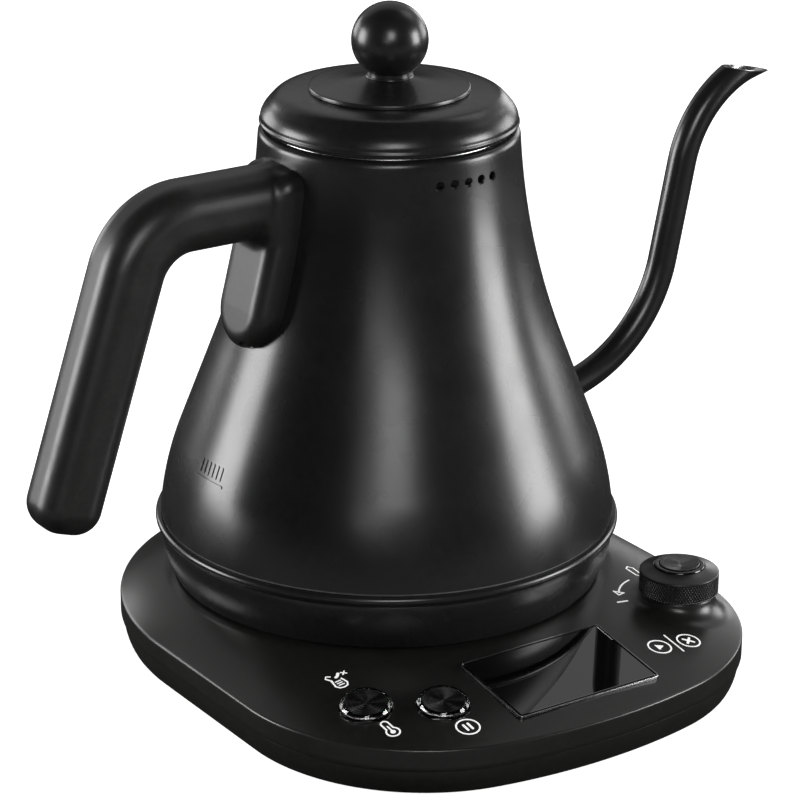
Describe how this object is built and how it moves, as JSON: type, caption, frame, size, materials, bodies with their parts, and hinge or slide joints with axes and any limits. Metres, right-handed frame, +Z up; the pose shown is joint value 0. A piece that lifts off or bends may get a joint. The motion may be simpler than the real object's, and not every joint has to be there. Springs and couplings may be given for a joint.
{
  "type": "electric gooseneck kettle",
  "caption": "Cordless gooseneck kettle: bell-shaped vessel with curved spout, bent handle and ball-topped lid on a heated power base with dial, buttons and display.",
  "frame": {"origin": "on the kettle's vertical axis, in the plane that the base's rubber feet stand on", "axes": "+X towards the spout, -X towards the handle, -Y towards the controls, +Z up"},
  "size_m": [0.2933, 0.2178, 0.2199],
  "materials": {
    "base_black": "fine satin texture",
    "rubber_black": "matte",
    "screw_steel": "zinc plated",
    "connector_plastic": "satin",
    "contact_brass": "bright",
    "display_glass": "polished",
    "bezel_grey": "polished edge",
    "module_grey": "satin",
    "circuit_board": "solder mask",
    "component_black": "satin",
    "encoder_steel": "satin",
    "relay_blue": "moulded",
    "transformer_yellow": "taped",
    "capacitor_sleeve": "shrink sleeve",
    "vessel_black": "satin powder coat",
    "spout_black": "satin gloss coat",
    "inner_steel": "brushed",
    "spreader_aluminium": "cast",
    "element_sheath": "heat tinted",
    "cutout_ceramic": "matte",
    "seal_silicone": "soft",
    "handle_black": "soft-touch",
    "dial_black": "knurled, black anodised",
    "spun_dark": "spun, dark anodised",
    "bright_ring": "polished",
    "clear_cap": "clear, bevelled"
  },
  "bodies": {
    "base": {"top_cover": "base_black", "bottom_cover": "base_black", "foot_ring": "rubber_black", "front_feet": "rubber_black", "case_screws": "screw_steel", "connector": "connector_plastic", "connector_contacts": "contact_brass", "display_window": "display_glass", "display_bezel": "bezel_grey", "display_module": "module_grey", "control_board": "circuit_board", "tact_switches": "component_black", "encoder": "encoder_steel", "buzzer": "component_black", "power_board": "circuit_board", "relay": "relay_blue", "transformer": "transformer_yellow", "capacitor": "capacitor_sleeve", "board_screws": "screw_steel", "cord_gland": "connector_plastic"},
    "connector_cap": {"connector_cap": "connector_plastic"},
    "kettle": {"vessel": "vessel_black", "level_mark": "vessel_black", "mouth_ring": "inner_steel", "spout": "spout_black", "skirt": "vessel_black", "skirt_seal": "seal_silicone", "heater_plate": "inner_steel", "heat_spreader": "spreader_aluminium", "heating_element": "element_sheath", "thermal_cutout": "cutout_ceramic", "temperature_probe": "inner_steel", "probe_seal": "seal_silicone", "socket": "connector_plastic", "socket_terminals": "contact_brass", "underside_cover": "base_black", "underside_screws": "screw_steel", "handle": "handle_black", "handle_bracket": "inner_steel", "handle_screws": "screw_steel"},
    "lid": {"lid_cover": "vessel_black", "lid_disc": "vessel_black", "lid_ball": "vessel_black", "lid_screw": "screw_steel", "lid_liner": "inner_steel", "lid_gasket": "seal_silicone"},
    "dial": {"dial_knob": "dial_black", "dial_ring": "bright_ring", "dial_shaft": "inner_steel"},
    "dial_button": {"dial_button": "spun_dark"},
    "preset_button": {"preset_cap": "clear_cap", "preset_disc": "spun_dark"},
    "hold_button": {"hold_cap": "clear_cap", "hold_disc": "spun_dark"}
  },
  "joints": [
    {"name": "kettle_swivel", "type": "hinge", "parent": "base", "child": "connector_cap", "pos_m": [0, 0, 0.0376], "axis": [0, 0, 1], "continuous": true},
    {"name": "kettle_lift", "type": "slide", "parent": "connector_cap", "child": "kettle", "axis": [0, 0, 1], "range_m": [0, 0.12]},
    {"name": "lid_lift", "type": "slide", "parent": "kettle", "child": "lid", "axis": [0, 0, 1], "range_m": [0, 0.08]},
    {"name": "dial_turn", "type": "hinge", "parent": "base", "child": "dial", "pos_m": [0.06606, -0.07627, 0.0316], "axis": [0, 0, 1], "continuous": true},
    {"name": "dial_press", "type": "slide", "parent": "dial", "child": "dial_button", "axis": [0, 0, -1], "range_m": [0, 0.0008], "stiffness_N_per_m": 900, "springref_m": -0.001},
    {"name": "preset_press", "type": "slide", "parent": "base", "child": "preset_button", "axis": [0.1035, 0.1359, -0.9853], "range_m": [0, 0.001], "stiffness_N_per_m": 700, "springref_m": -0.001},
    {"name": "hold_press", "type": "slide", "parent": "base", "child": "hold_button", "axis": [0.0634, 0.1418, -0.9879], "range_m": [0, 0.001], "stiffness_N_per_m": 700, "springref_m": -0.001}
  ]
}
